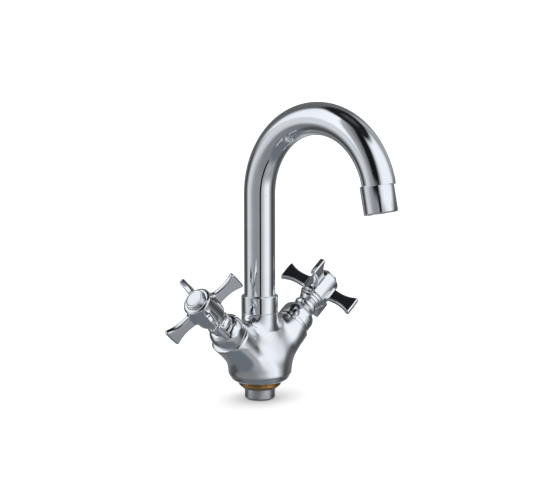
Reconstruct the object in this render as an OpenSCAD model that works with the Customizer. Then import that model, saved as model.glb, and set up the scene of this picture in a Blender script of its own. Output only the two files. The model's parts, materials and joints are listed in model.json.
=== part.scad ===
// Two-handle monobloc basin mixer with a swivelling swan-neck spout and cross handles.
// Millimetres. The origin is the centre of the seating face on the basin, +Z is up,
// the spout reaches towards -Y, the hot valve is on -X and the cold valve on +X.

/* [Spout] */
// Height above the basin at which the straight riser meets the arch
riser_h = 145; // [110:1:220]
// Radius of the arch, measured to the tube's centre line
arch_r = 57; // [35:1:90]
// How far round the arch turns, in degrees
arch_turn = 168; // [120:1:178]
// Outside diameter of the spout tube
tube_d = 24; // [18:0.5:30]
// Wall of the spout tube
tube_wall = 1.5; // [1:0.1:2.4]

/* [Aerator] */
// Length of the aerator housing
aerator_len = 20.5; // [17:0.5:30]
// How much wider the aerator housing is than the tube, in diameter
aerator_step = 0.2; // [0:0.1:3]
// Length of the male thread at the tube's end
outlet_thread_len = 7; // [5:0.5:9]
// Thickness of the rubber gasket above the aerator's flow insert
aerator_gasket_t = 1.5; // [1:0.1:3]
// Height of the flow insert
insert_h = 8; // [5:0.5:9]

/* [Collar and swivel] */
// Height of the neck's shoulder, on which the collar nut lands
shoulder_z = 53; // [48:0.5:70]
// Height of the collar nut
collar_h = 13.6; // [12:0.1:20]
// Wall of the collar nut round its thread
collar_wall = 1.2; // [1:0.1:3]
// Thickness of the collar nut's inward lip
collar_lip = 2.9; // [2:0.1:4]
// Step of the spout stem's flange beyond the tube
flange_step = 0.8; // [0.6:0.1:2]
// Thickness of the spout stem's flange
flange_t = 2; // [1.5:0.1:3]
// Thickness of the plastic glide ring under the flange
glide_t = 1; // [0.6:0.1:2]
// Wall of the spout stem, down in the body
stem_wall = 2.9; // [2.6:0.1:4]
// How far the spout stem reaches below the neck's shoulder
stem_depth = 12.5; // [10:0.5:14]

/* [Body] */
// Diameter of the body's foot at its widest
foot_d = 46.4; // [42:0.2:60]
// Diameter of the foot where it meets the basin
foot_seat_d = 36.4; // [34:0.2:41]
// Height of the foot's rounded lower edge
foot_round_h = 5; // [3:0.5:8]
// Height of the foot's upright wall above its rounded edge
foot_wall_h = 5; // [2:0.5:10]
// Height at which the two valve axes cross the spout's axis
valve_z = 12.5; // [10:0.5:16]
// Rise of each valve axis above the horizontal, in degrees
valve_tilt = 39; // [35:1:45]
// Sweep of each valve axis towards the spout's side, in degrees
valve_sweep = 4.5; // [0:0.5:15]
// Length of each branch, from the axes' crossing to its end face
branch_len = 42; // [40:0.5:60]
// Diameter of a branch at its end face
branch_d = 26.4; // [25:0.2:32]
// Diameter of a branch at its root, inside the body
branch_root_d = 37; // [32:0.5:42]

/* [Base] */
// Diameter of the spigot that passes through the tap hole
spigot_d = 23.4; // [23.2:0.2:28]
// How far the spigot reaches below the seating face
spigot_len = 14.5; // [12:0.5:60]
// Chamfer on the spigot's lower end
spigot_chamfer = 1.5; // [0.5:0.1:1.5]
// Length of the spigot's threaded root inside the body
spigot_root_len = 8; // [6:0.5:9]
// Largest diameter of the brass centring ring below the seating face
ring_d = 32.4; // [30:0.2:34]
// Height of the centring ring
ring_h = 5.9; // [4:0.1:8]
// Tapping diameter of each inlet hole, for an M10 x 1 hose tail
inlet_d = 8.92; // [8:0.02:9]
// Distance between the two inlet holes
inlet_pitch = 11.4; // [11:0.1:12]
// Depth of the thread in each inlet hole
inlet_depth = 12; // [8:0.5:14]
// Tapping diameter of the fixing stud's hole, for an M6 stud
stud_hole_d = 4.92; // [4:0.02:5]
// Distance of the fixing stud behind the spigot's axis
stud_offset = 7.4; // [7.2:0.1:7.5]
// Depth of the fixing stud's hole
stud_depth = 10; // [8:0.5:14]

/* [Valves] */
// Diameter of the valve headwork's threaded barrel
headwork_d = 19; // [17:0.5:20]
// Depth of the valve chamber below the branch's end face
chamber_depth = 20; // [19:0.5:24]
// Diameter of the spindle
spindle_d = 7.8; // [6:0.2:9]
// Thickness of each ceramic disc
disc_t = 3; // [2:0.1:4]
// Diameter of the bonnet
bonnet_d = 27; // [26:0.2:34]
// Height of the bonnet
bonnet_h = 15.6; // [14:0.2:22]

/* [Handles] */
// Distance from the handle's lower rim to the middle of its fins
fin_height = 24.5; // [22:0.5:34]
// Radius from the handle's axis to the fins' ends
fin_reach = 32.5; // [26:0.5:42]
// Width of a fin at its end, along the handle's axis
fin_end_w = 19; // [13:0.2:24]
// Width of a fin at its waist
fin_waist_w = 10; // [7:0.2:12]
// Thickness of a fin
fin_t = 4.6; // [3:0.1:7]
// Diameter of the handle's hub
hub_d = 22.4; // [20:0.2:28]
// Height of the hub above the middle of the fins
hub_top_h = 11.5; // [9.5:0.5:16]
// Diameter of the index cap in the hub's top
cap_d = 15.2; // [13:0.2:17]
// How far the index cap stands above the hub
cap_rise = 2.8; // [1:0.1:5]
// Turn of the hot handle's fins when it is closed, in degrees
hot_rest_turn = 32; // [0:0.5:89.5]
// Turn of the cold handle's fins when it is closed, in degrees
cold_rest_turn = 30; // [0:0.5:89.5]

/* [Fits] */
// Radial clearance of the turning fits
run_gap = 0.06; // [0.02:0.01:0.1]
// Radial clearance of threads and seated pieces
seat_gap = 0.05; // [0.02:0.01:0.1]
// Clearance between a turning face and the fixed face beside it
face_gap = 0.1; // [0.05:0.01:0.2]

/* [Hidden] */
$fn = 96;

HOT = -1;
COLD = 1;
ARC_STEPS = 8;
CUT = 1; // how far a cutting shape passes the face that it opens

// Spout
tube_r = tube_d / 2;
tube_bore_r = tube_r - tube_wall;
aerator_r = tube_r + aerator_step / 2;
outlet_thread_r = tube_r - 1;
outlet_bore_r = outlet_thread_r - 1.6;
thread_root = 1;
aerator_wall_bore_r = outlet_thread_r + seat_gap;
screen_t = 1;
insert_z = outlet_thread_len + aerator_gasket_t;
screen_z = insert_z + insert_h;
aerator_lip_z = screen_z + screen_t;
insert_r = outlet_thread_r - 0.9;
aerator_lip_bore_r = insert_r - 1.2;

// Swivel
flange_r = tube_r + flange_step;
collar_bore_r = flange_r + 0.2;
collar_r = collar_bore_r + collar_wall;
stub_r = collar_bore_r - seat_gap;
collar_top_z = shoulder_z + collar_h;
lip_z = collar_top_z - collar_lip;
flange_top_z = lip_z - face_gap;
flange_z = flange_top_z - flange_t;
glide_z = flange_z - face_gap - glide_t;
stem_r = tube_r - 3.1;
stem_bore_r = stem_r + run_gap;
stem_z = shoulder_z - stem_depth;
stem_water_r = stem_r - stem_wall;
stem_plug_r = tube_bore_r - seat_gap;
stem_plug_h = 8;
glide_inner_r = stem_r + 0.3;
glide_outer_r = collar_bore_r - 0.3;
ring_groove_d = 1.6;
ring_groove_w = 2;
ring_minor_r = ring_groove_d / 2 - seat_gap;
upper_groove_z = shoulder_z + 1.5;
lower_groove_z = stem_z + 2.5;

// Body
ring_r = ring_d / 2;
gasket_t = 1;
gasket_w = 0.7;
gasket_bore_r = ring_r + 0.6;
gasket_r = gasket_bore_r + gasket_w;
foot_r = foot_d / 2;
foot_seat_r = max(foot_seat_d / 2, gasket_r + 0.6);
foot_wall_z = foot_round_h + foot_wall_h;
neck_base_z = shoulder_z - 14;
branch_r = branch_d / 2;
branch_root_r = branch_root_d / 2;
root_cut_z = 0.7;
mixing_r = 6;
mixing_z = shoulder_z - stem_depth - 13;
stem_floor_z = stem_z - 0.6;
outlet_channel_r = 2.8;
inlet_channel_r = 3;
spigot_r = spigot_d / 2;
spigot_root_r = spigot_r - 1.2;
ring_seat_r = spigot_r - 0.3;
ring_bore_r = ring_seat_r + seat_gap;
ring_taper_h = 2.7;
ring_taper = 3.1;
inlet_x = inlet_pitch / 2;

// Valves, along the valve's own axis
chamber_r = headwork_d / 2 + seat_gap;
chamber_z = branch_len - chamber_depth;
outlet_channel_z = chamber_z + outlet_channel_r + 0.8;
outlet_channel_len = chamber_z * 0.72;
inlet_channel_over = 0.06; // share of its length that the inlet waterway enters the chamber
headwork_r = headwork_d / 2;
cage_r = headwork_r - 1.4;
seal_t = 2;
seal_r = cage_r - 1.6;
seal_bore_r = inlet_channel_r;
fixed_disc_z = chamber_z + seal_t + seat_gap;
moving_disc_z = fixed_disc_z + disc_t + 0.03;
disc_r = cage_r - 1.2;
disc_bore_r = disc_r + 0.1;
head_z = moving_disc_z + disc_t + face_gap;
head_t = 2.5;
head_r = disc_r - 0.3;
tongue_w = head_r * 1.2;
tongue_t = 2;
port_r = 1.7;
cage_top_z = head_z + head_t + face_gap;
cage_bore_r = disc_bore_r;
cage_collar_z = cage_top_z + 1.2;
valve_ring_z = cage_collar_z + 2;
spindle_r = spindle_d / 2;
spindle_bore_r = spindle_r + run_gap;
neck_r = spindle_r + 2.2;
hex_z = branch_len;
hex_h = 5;
hex_r = 11;
neck_top_z = branch_len + bonnet_h + 2;
bonnet_r = bonnet_d / 2;
bonnet_top_z = branch_len + bonnet_h;
bonnet_wall = 1.6;
bonnet_ring_h = 3;
bonnet_line = 0.5;
bonnet_edge = 0.4;
bonnet_dome_z = bonnet_top_z - 6.6;
bonnet_hole_r = neck_r + 0.4;
bonnet_rim_r = neck_r + 2;
spindle_ring_z = neck_top_z - 6;
spindle_ring_minor_r = 0.36;
clip_z = neck_top_z + face_gap;
clip_t = 0.8;
clip_r = spindle_r + 1.5;
spindle_groove_r = spindle_r - 0.8;

// Handles, along the valve's own axis
handle_z = bonnet_top_z + 0.4;
fin_z = handle_z + fin_height;
hub_r = hub_d / 2;
hub_top_z = fin_z + hub_top_h;
hub_edge = 2;
bead_round = 3.4;
bead_r = hub_r - 1.8;
bead_neck_r = bead_r - 2.2;
bead_z = handle_z + 4.4;
skirt_z = handle_z + 9;
skirt_low_r = hub_r - 2.2;
skirt_high_r = hub_r - 1.2;
cap_r = cap_d / 2;
cap_edge = 0.8;
cap_z = hub_top_z - 1.6;
cap_top_z = hub_top_z + cap_rise;
pocket_r = cap_r + seat_gap;
pocket_z = hub_top_z - 8;
drive_top_z = pocket_z - 1.5;
drive_r = spindle_r + seat_gap;
handle_hollow_r = neck_r + 0.6;
handle_hollow_z = neck_top_z + clip_t + 1.2;
screw_r = 2;
screw_head_r = 4;
screw_head_h = 3;
screw_hole_r = screw_r + 0.3;
screw_pocket_r = screw_head_r + 1.2;
screw_z = drive_top_z - 10;
fin_root_r = hub_r - 2;
fin_root_w = fin_waist_w + 2.4;
fin_waist_r = hub_r + (fin_reach - hub_r) * 0.35;
fin_corner = 1.6;

// Points of an arc about c, from angle a to angle b
function arc(c, r, a, b, n = ARC_STEPS) = [
    for (i = [0:n]) [c[0] + r * cos(a + (b - a) * i / n), c[1] + r * sin(a + (b - a) * i / n)]
];

// Half width of a fin at a radius: narrow at the waist, flared to both sides
function fin_half(r) = r < fin_waist_r
    ? (fin_waist_w + (fin_root_w - fin_waist_w) * pow((fin_waist_r - r) / (fin_waist_r - fin_root_r), 2)) / 2
    : (fin_waist_w + (fin_end_w - fin_waist_w) * pow((r - fin_waist_r) / (fin_reach - fin_waist_r), 1.8)) / 2;

// Places what is drawn on the cold valve's axis, or its mirror image on the hot valve's
module on_valve(side) {
    mirror([side == HOT ? 1 : 0, 0, 0])
        translate([0, 0, valve_z])
            rotate([0, 0, -valve_sweep])
                rotate([0, 90 - valve_tilt, 0])
                    children();
}

// Places what is drawn at the end of the arch, with +Z along the falling water
module at_outlet() {
    translate([0, -arch_r, riser_h])
        rotate([90, 0, 90])
            rotate([0, 0, arch_turn])
                translate([arch_r, 0, 0])
                    rotate([-90, 0, 0])
                        children();
}

// A cylinder between two points, turned so that its seam lies to one side
module channel(from, to, r) {
    run = to - from;
    translate(from)
        rotate([0, acos(run[2] / norm(run)), atan2(run[1], run[0])])
            rotate([0, 0, 90])
                cylinder(r = r, h = norm(run));
}

// A round ring of a given wall and height
module sleeve(outer, inner, z, h) {
    translate([0, 0, z])
        difference() {
            cylinder(r = outer, h = h);
            translate([0, 0, -CUT])
                cylinder(r = inner, h = h + 2 * CUT);
        }
}

module o_ring(inner, minor, z) {
    translate([0, 0, z])
        rotate_extrude()
            translate([inner + minor, 0])
                circle(r = minor, $fn = 32);
}

// Cross-section of the spout tube
module tube_ring() {
    difference() {
        circle(r = tube_r);
        circle(r = tube_bore_r);
    }
}

// Outside of the cast body: foot, neck and the two branches
module body_outside() {
    rotate_extrude()
        polygon(concat(
            [[0, 0], [foot_seat_r, 0]],
            arc([foot_r - foot_round_h, foot_round_h], foot_round_h, -60, 0, 5),
            [
                [foot_r, foot_wall_z],
                [foot_r - 2, foot_wall_z + 8],
                [collar_r + 2.2, neck_base_z - 6],
                [collar_r, neck_base_z],
                [collar_r, shoulder_z],
                [stub_r, shoulder_z],
                [stub_r, glide_z],
                [0, glide_z]
            ]
        ));
    // the branches, with their roots cut off level inside the foot
    for (side = [HOT, COLD])
        difference() {
            on_valve(side)
                cylinder(r1 = branch_root_r, r2 = branch_r, h = branch_len);
            translate([0, 0, root_cut_z - 2 * branch_root_r])
                cylinder(r = 2 * branch_root_r, h = 2 * branch_root_r);
        }
}

module body_casting() {
    color("silver")
        difference() {
            body_outside();
            // swivel bore and the mixing chamber under it
            translate([0, 0, stem_floor_z])
                cylinder(r = stem_bore_r, h = glide_z - stem_floor_z + CUT);
            translate([0, 0, mixing_z])
                cylinder(r = mixing_r, h = stem_floor_z - mixing_z + CUT);
            // recess for the spigot's root, and the groove of the base gasket
            translate([0, 0, -CUT])
                cylinder(r = spigot_root_r + seat_gap, h = spigot_root_len + CUT);
            sleeve(gasket_r + seat_gap, gasket_bore_r - seat_gap, -CUT, gasket_t + CUT);
            for (side = [HOT, COLD]) {
                on_valve(side)
                    translate([0, 0, chamber_z])
                        cylinder(r = chamber_r, h = chamber_depth + CUT);
                // level waterway from the valve chamber to the mixing chamber
                on_valve(side)
                    translate([outlet_channel_r - chamber_r, 0, outlet_channel_z])
                        rotate([0, valve_tilt - 180, 0])
                            cylinder(r = outlet_channel_r, h = outlet_channel_len);
                inlet_channel(side);
            }
        }
}

// Waterway from an inlet up to the floor of its valve chamber
module inlet_channel(side) {
    top = [
        chamber_z * cos(valve_tilt) * cos(valve_sweep),
        -chamber_z * cos(valve_tilt) * sin(valve_sweep),
        valve_z + chamber_z * sin(valve_tilt)
    ];
    start = [inlet_x, 0, spigot_root_len - 2 * CUT];
    mirror([side == HOT ? 1 : 0, 0, 0])
        channel(start, top + (top - start) * inlet_channel_over, inlet_channel_r);
}

module inlet_spigot() {
    color("gainsboro")
        difference() {
            rotate_extrude()
                polygon([
                    [0, -spigot_len],
                    [spigot_r - spigot_chamfer, -spigot_len],
                    [spigot_r, spigot_chamfer - spigot_len],
                    [spigot_r, -ring_h - seat_gap],
                    [ring_seat_r, -ring_h - seat_gap],
                    [ring_seat_r, 0],
                    [spigot_root_r, 0],
                    [spigot_root_r, spigot_root_len - seat_gap],
                    [0, spigot_root_len - seat_gap]
                ]);
            for (x = [-inlet_x, inlet_x]) {
                translate([x, 0, -spigot_len - CUT])
                    cylinder(d = inlet_d, h = inlet_depth + CUT);
                translate([x, 0, -spigot_len])
                    cylinder(r = inlet_channel_r, h = spigot_len + spigot_root_len + CUT);
            }
            translate([0, stud_offset, -spigot_len - CUT])
                cylinder(d = stud_hole_d, h = stud_depth + CUT);
        }
}

module base_ring() {
    color("darkgoldenrod")
        rotate_extrude()
            polygon([
                [ring_bore_r, -ring_h],
                [ring_r - ring_taper, -ring_h],
                [ring_r, ring_taper_h - ring_h],
                [ring_r, 0],
                [ring_bore_r, 0]
            ]);
}

module base_gasket() {
    color("dimgray")
        sleeve(gasket_r, gasket_bore_r, 0, gasket_t);
}

module collar_nut() {
    color("silver")
        difference() {
            translate([0, 0, shoulder_z])
                cylinder(r = collar_r, h = collar_h);
            translate([0, 0, shoulder_z - CUT])
                cylinder(r = collar_bore_r, h = collar_h - collar_lip + CUT);
            translate([0, 0, shoulder_z])
                cylinder(r = tube_r + run_gap, h = collar_h + CUT);
        }
}

module glide_ring() {
    color("white")
        sleeve(glide_outer_r, glide_inner_r, glide_z, glide_t);
}

module spout_stem() {
    groove_r = stem_r - ring_groove_d;
    half_w = ring_groove_w / 2;
    plug_top_z = flange_top_z + stem_plug_h;
    color("goldenrod")
        rotate_extrude()
            polygon([
                [stem_water_r, stem_z],
                [stem_r, stem_z],
                [stem_r, lower_groove_z - half_w],
                [groove_r, lower_groove_z - half_w],
                [groove_r, lower_groove_z + half_w],
                [stem_r, lower_groove_z + half_w],
                [stem_r, upper_groove_z - half_w],
                [groove_r, upper_groove_z - half_w],
                [groove_r, upper_groove_z + half_w],
                [stem_r, upper_groove_z + half_w],
                [stem_r, flange_z],
                [flange_r, flange_z],
                [flange_r, flange_top_z],
                [stem_plug_r, flange_top_z],
                [stem_plug_r, plug_top_z],
                [stem_water_r, plug_top_z]
            ]);
}

module o_ring_on_stem(z) {
    color("dimgray")
        o_ring(stem_r - ring_groove_d + seat_gap, ring_minor_r, z);
}

// Riser and arch, with the male thread that takes the aerator housing
module spout_tube() {
    color("silver")
        union() {
            translate([0, 0, flange_top_z])
                linear_extrude(height = riser_h - flange_top_z)
                    tube_ring();
            translate([0, -arch_r, riser_h])
                rotate([90, 0, 90])
                    rotate_extrude(angle = arch_turn)
                        translate([arch_r, 0])
                            tube_ring();
            at_outlet()
                sleeve(outlet_thread_r, outlet_bore_r, -thread_root, thread_root + outlet_thread_len);
        }
}

module aerator_housing() {
    color("silver")
        at_outlet()
            difference() {
                cylinder(r = aerator_r, h = aerator_len);
                translate([0, 0, -CUT])
                    cylinder(r = aerator_wall_bore_r, h = aerator_lip_z + CUT);
                cylinder(r = aerator_lip_bore_r, h = aerator_len + CUT);
            }
}

module aerator_gasket() {
    color("dimgray")
        at_outlet()
            sleeve(outlet_thread_r, outlet_bore_r, outlet_thread_len, aerator_gasket_t);
}

// Flow insert: a cup with a ring of jets in its plate
module aerator_insert() {
    plate_t = 2;
    flange_h = 1;
    wall = 1.2;
    jet_r = 0.8;
    color("white")
        at_outlet()
            difference() {
                union() {
                    translate([0, 0, insert_z])
                        cylinder(r = insert_r, h = insert_h);
                    translate([0, 0, insert_z])
                        cylinder(r = outlet_thread_r, h = flange_h);
                }
                translate([0, 0, insert_z + plate_t])
                    cylinder(r = insert_r - wall, h = insert_h);
                for (a = [0:30:330])
                    rotate([0, 0, a])
                        translate([insert_r * 0.62, 0, insert_z - CUT])
                            cylinder(r = jet_r, h = plate_t + 2 * CUT, $fn = 24);
            }
}

// Outlet screen: a round plate with a hexagonal lattice of openings
module aerator_screen() {
    pitch = 3.4;
    cell_r = 1.5;
    color("lightgray")
        at_outlet()
            translate([0, 0, screen_z])
                difference() {
                    cylinder(r = insert_r, h = screen_t);
                    for (i = [-2:2], j = [-2:2])
                        if (abs(i + j) < 3)
                            translate([pitch * (i + j / 2), pitch * j * sqrt(3) / 2, -CUT])
                                cylinder(r = cell_r, h = screen_t + 2 * CUT, $fn = 6);
                }
}

// Chromed shroud over the headwork: a plain ring, a fine line and a domed shoulder
module bonnet(side) {
    dome_h = bonnet_top_z - bonnet_dome_z;
    dome_run = bonnet_r - bonnet_rim_r;
    line_z = branch_len + bonnet_ring_h;
    color("silver")
        on_valve(side)
            rotate_extrude()
                polygon(concat(
                    [
                        [bonnet_r - bonnet_wall, branch_len],
                        [bonnet_r - bonnet_edge, branch_len],
                        [bonnet_r, branch_len + bonnet_edge],
                        [bonnet_r, line_z],
                        [bonnet_r - bonnet_line, line_z + bonnet_line / 2],
                        [bonnet_r, line_z + bonnet_line]
                    ],
                    [
                        for (i = [0:ARC_STEPS])
                            [
                                bonnet_rim_r + dome_run * cos(90 * i / ARC_STEPS),
                                bonnet_dome_z + dome_h * sin(90 * i / ARC_STEPS)
                            ]
                    ],
                    [
                        [bonnet_hole_r, bonnet_top_z],
                        [bonnet_hole_r, bonnet_top_z - bonnet_wall],
                        [bonnet_rim_r, bonnet_top_z - bonnet_wall],
                        [bonnet_r - bonnet_wall, bonnet_dome_z]
                    ]
                ));
}

// Brass headwork: disc cage with side windows, threaded barrel, hexagon and neck
module valve_body(side) {
    window_h = 5;
    window_w = 6;
    color("goldenrod")
        on_valve(side)
            difference() {
                union() {
                    translate([0, 0, chamber_z + seat_gap])
                        cylinder(r = cage_r, h = cage_collar_z - chamber_z);
                    translate([0, 0, cage_collar_z])
                        cylinder(r = headwork_r, h = hex_z - cage_collar_z);
                    translate([0, 0, hex_z])
                        cylinder(r = hex_r, h = hex_h, $fn = 6);
                    translate([0, 0, hex_z])
                        cylinder(r = neck_r, h = neck_top_z - hex_z);
                }
                translate([0, 0, chamber_z - CUT])
                    cylinder(r = cage_bore_r, h = cage_top_z - chamber_z + CUT);
                translate([0, 0, chamber_z])
                    cylinder(r = spindle_bore_r, h = neck_top_z);
                translate([0, 0, head_z - window_h / 2])
                    cube([chamber_r * 3, window_w, window_h], center = true);
                translate([0, 0, valve_ring_z - ring_groove_w / 2])
                    sleeve(headwork_r + CUT, headwork_r - ring_groove_d, 0, ring_groove_w);
            }
}

module valve_o_ring(side) {
    color("dimgray")
        on_valve(side)
            o_ring(headwork_r - ring_groove_d + seat_gap, ring_minor_r, valve_ring_z);
}

module spindle(side) {
    ring_w = 1.8;
    color("goldenrod")
        on_valve(side)
            difference() {
                union() {
                    translate([0, 0, head_z])
                        cylinder(r = head_r, h = head_t);
                    translate([0, 0, head_z])
                        cylinder(r = spindle_r, h = drive_top_z - head_z);
                    // tongue that turns the moving disc
                    translate([0, 0, head_z - tongue_t * 0.3])
                        cube([tongue_w, tongue_t, tongue_t], center = true);
                }
                sleeve(spindle_r + CUT, spindle_groove_r, spindle_ring_z - ring_w / 2, ring_w);
                sleeve(spindle_r + CUT, spindle_groove_r, clip_z, clip_t + face_gap);
                translate([0, 0, screw_z])
                    cylinder(r = screw_r + seat_gap, h = drive_top_z - screw_z + CUT);
            }
}

module spindle_o_ring(side) {
    color("dimgray")
        on_valve(side)
            o_ring(spindle_groove_r + seat_gap, spindle_ring_minor_r, spindle_ring_z);
}

// Spring clip in the spindle's groove, above the neck
module retaining_clip(side) {
    gap_w = 2.4;
    color("lightgray")
        on_valve(side)
            difference() {
                sleeve(clip_r, spindle_groove_r + seat_gap, clip_z + seat_gap, clip_t);
                translate([clip_r, 0, clip_z])
                    cube([2 * clip_r, gap_w, 4 * clip_t], center = true);
            }
}

module moving_disc(side) {
    color("ivory")
        on_valve(side)
            difference() {
                translate([0, 0, moving_disc_z])
                    cylinder(r = disc_r, h = disc_t);
                // slot for the spindle's tongue
                translate([0, 0, moving_disc_z + disc_t])
                    cube([tongue_w + 0.4, tongue_t + 0.3, disc_t * 1.2], center = true);
                for (a = [90, 270])
                    rotate([0, 0, a])
                        translate([disc_r * 0.62, 0, moving_disc_z - CUT])
                            cylinder(r = port_r, h = disc_t + 2 * CUT, $fn = 32);
            }
}

module fixed_disc(side) {
    color("ivory")
        on_valve(side)
            difference() {
                translate([0, 0, fixed_disc_z])
                    cylinder(r = disc_r, h = disc_t);
                for (a = [0, 180])
                    rotate([0, 0, a])
                        translate([disc_r * 0.5, 0, fixed_disc_z - CUT])
                            cylinder(r = port_r, h = disc_t + 2 * CUT, $fn = 32);
            }
}

module seat_seal(side) {
    color("dimgray")
        on_valve(side)
            sleeve(seal_r, seal_bore_r, chamber_z + seat_gap / 2, seal_t);
}

// One fishtail fin, lying in a plane that holds the handle's axis
module fin() {
    steps = [0:ARC_STEPS];
    edge = [
        for (i = steps)
            let (r = fin_root_r + (fin_reach - fin_corner - fin_root_r) * i / ARC_STEPS)
                [r, fin_half(r)]
    ];
    end_half = fin_end_w / 2;
    tip = [[fin_reach, end_half - fin_corner * 0.4]];
    upper = concat(edge, tip);
    lower = [for (i = [len(upper) - 1:-1:0]) [upper[i][0], -upper[i][1]]];
    translate([0, 0, fin_z])
        rotate([90, 0, 0])
            linear_extrude(height = fin_t, center = true)
                polygon(concat(upper, lower));
}

// Cast handle: beaded neck, stepped skirt, hub and four fins
module handle(side) {
    turn = side == HOT ? hot_rest_turn : cold_rest_turn;
    color("silver")
        on_valve(side)
            rotate([0, 0, turn])
                difference() {
                    union() {
                        rotate_extrude()
                            polygon(concat(
                                [[0, handle_z], [bead_neck_r, handle_z]],
                                arc([bead_r - bead_round, bead_z], bead_round, -60, 60, 6),
                                [
                                    [bead_neck_r, skirt_z],
                                    [skirt_low_r, skirt_z + 0.8],
                                    [skirt_low_r, skirt_z + 2.6],
                                    [skirt_high_r, skirt_z + 3],
                                    [skirt_high_r, skirt_z + 4.8],
                                    [hub_r, skirt_z + 5.4],
                                    [hub_r, hub_top_z - hub_edge],
                                    [hub_r - hub_edge * 0.4, hub_top_z - hub_edge * 0.3],
                                    [hub_r - hub_edge * 0.9, hub_top_z],
                                    [0, hub_top_z]
                                ]
                            ));
                        for (a = [0:90:270])
                            rotate([0, 0, a])
                                fin();
                    }
                    translate([0, 0, handle_z - CUT])
                        cylinder(r = handle_hollow_r, h = handle_hollow_z - handle_z + CUT);
                    translate([0, 0, handle_z])
                        cylinder(r = drive_r, h = drive_top_z + seat_gap - handle_z);
                    translate([0, 0, handle_z])
                        cylinder(r = screw_hole_r, h = pocket_z - handle_z + CUT);
                    translate([0, 0, pocket_z])
                        cylinder(r = screw_pocket_r, h = hub_top_z);
                    translate([0, 0, cap_z])
                        cylinder(r = pocket_r, h = hub_top_z);
                }
}

module handle_screw(side) {
    color("lightgray")
        on_valve(side)
            difference() {
                union() {
                    translate([0, 0, screw_z + 1])
                        cylinder(r = screw_r, h = pocket_z - screw_z);
                    translate([0, 0, pocket_z + seat_gap])
                        cylinder(r = screw_head_r, h = screw_head_h);
                }
                translate([0, 0, pocket_z + screw_head_h])
                    for (a = [0, 90])
                        rotate([0, 0, a])
                            cube([screw_head_r * 1.2, 1, screw_head_h], center = true);
            }
}

// Index cap: a plug in the hub's pocket, with a rounded rim round its flat face
module cap(side) {
    color("silver")
        on_valve(side)
            rotate_extrude()
                polygon(concat(
                    [
                        [0, cap_z + seat_gap],
                        [cap_r, cap_z + seat_gap],
                        [cap_r, cap_top_z - cap_edge]
                    ],
                    arc([cap_r - cap_edge, cap_top_z - cap_edge], cap_edge, 0, 90, 4),
                    [[0, cap_top_z]]
                ));
}

body_casting();
inlet_spigot();
base_ring();
base_gasket();
collar_nut();
glide_ring();
spout_stem();
o_ring_on_stem(upper_groove_z);  // spout_o_ring_upper
o_ring_on_stem(lower_groove_z);  // spout_o_ring_lower
spout_tube();
aerator_housing();
aerator_gasket();
aerator_insert();
aerator_screen();
bonnet(HOT);  // hot_bonnet
valve_body(HOT);  // hot_valve_body
valve_o_ring(HOT);  // hot_valve_o_ring
spindle(HOT);  // hot_spindle
spindle_o_ring(HOT);  // hot_spindle_o_ring
retaining_clip(HOT);  // hot_retaining_clip
moving_disc(HOT);  // hot_moving_disc
fixed_disc(HOT);  // hot_fixed_disc
seat_seal(HOT);  // hot_seat_seal
handle(HOT);  // hot_handle
handle_screw(HOT);  // hot_handle_screw
cap(HOT);  // hot_cap
bonnet(COLD);  // cold_bonnet
valve_body(COLD);  // cold_valve_body
valve_o_ring(COLD);  // cold_valve_o_ring
spindle(COLD);  // cold_spindle
spindle_o_ring(COLD);  // cold_spindle_o_ring
retaining_clip(COLD);  // cold_retaining_clip
moving_disc(COLD);  // cold_moving_disc
fixed_disc(COLD);  // cold_fixed_disc
seat_seal(COLD);  // cold_seat_seal
handle(COLD);  // cold_handle
handle_screw(COLD);  // cold_handle_screw
cap(COLD);  // cold_cap
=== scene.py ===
"""Looks of the two-handle basin mixer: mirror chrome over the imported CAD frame, in a plain studio."""

import json
import math

import bpy
import numpy as np
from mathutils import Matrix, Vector


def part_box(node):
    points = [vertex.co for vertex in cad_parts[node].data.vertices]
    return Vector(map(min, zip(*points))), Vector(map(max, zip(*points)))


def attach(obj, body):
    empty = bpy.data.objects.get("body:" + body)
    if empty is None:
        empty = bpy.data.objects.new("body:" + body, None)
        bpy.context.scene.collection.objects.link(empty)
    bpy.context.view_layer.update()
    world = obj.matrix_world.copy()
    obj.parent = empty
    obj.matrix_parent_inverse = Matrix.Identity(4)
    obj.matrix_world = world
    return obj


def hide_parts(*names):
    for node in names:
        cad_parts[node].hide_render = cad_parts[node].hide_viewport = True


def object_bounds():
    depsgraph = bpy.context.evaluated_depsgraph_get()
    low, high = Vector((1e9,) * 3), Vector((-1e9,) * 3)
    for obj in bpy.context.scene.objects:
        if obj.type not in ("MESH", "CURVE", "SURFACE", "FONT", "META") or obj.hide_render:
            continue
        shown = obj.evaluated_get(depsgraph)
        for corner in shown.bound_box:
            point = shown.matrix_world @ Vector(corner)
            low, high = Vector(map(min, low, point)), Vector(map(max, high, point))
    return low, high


MM = 0.001
SEGMENTS = 144
UP = np.array([0.0, 0.0, 1.0])

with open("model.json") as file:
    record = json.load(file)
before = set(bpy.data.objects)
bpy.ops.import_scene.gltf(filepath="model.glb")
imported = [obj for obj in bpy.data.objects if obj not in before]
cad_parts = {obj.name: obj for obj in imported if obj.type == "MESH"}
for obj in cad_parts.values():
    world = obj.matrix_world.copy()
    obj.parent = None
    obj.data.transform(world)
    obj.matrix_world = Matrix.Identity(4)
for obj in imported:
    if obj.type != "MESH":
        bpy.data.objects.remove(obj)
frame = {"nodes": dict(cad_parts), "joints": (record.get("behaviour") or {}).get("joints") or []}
cad_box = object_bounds()


# ---------------------------------------------------------------- measuring the frame

def points(node):
    """Vertices of a CAD node, in millimetres."""
    mesh = frame["nodes"][node].data
    co = np.zeros(len(mesh.vertices) * 3)
    mesh.vertices.foreach_get("co", co)
    return co.reshape(-1, 3) / MM


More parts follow.
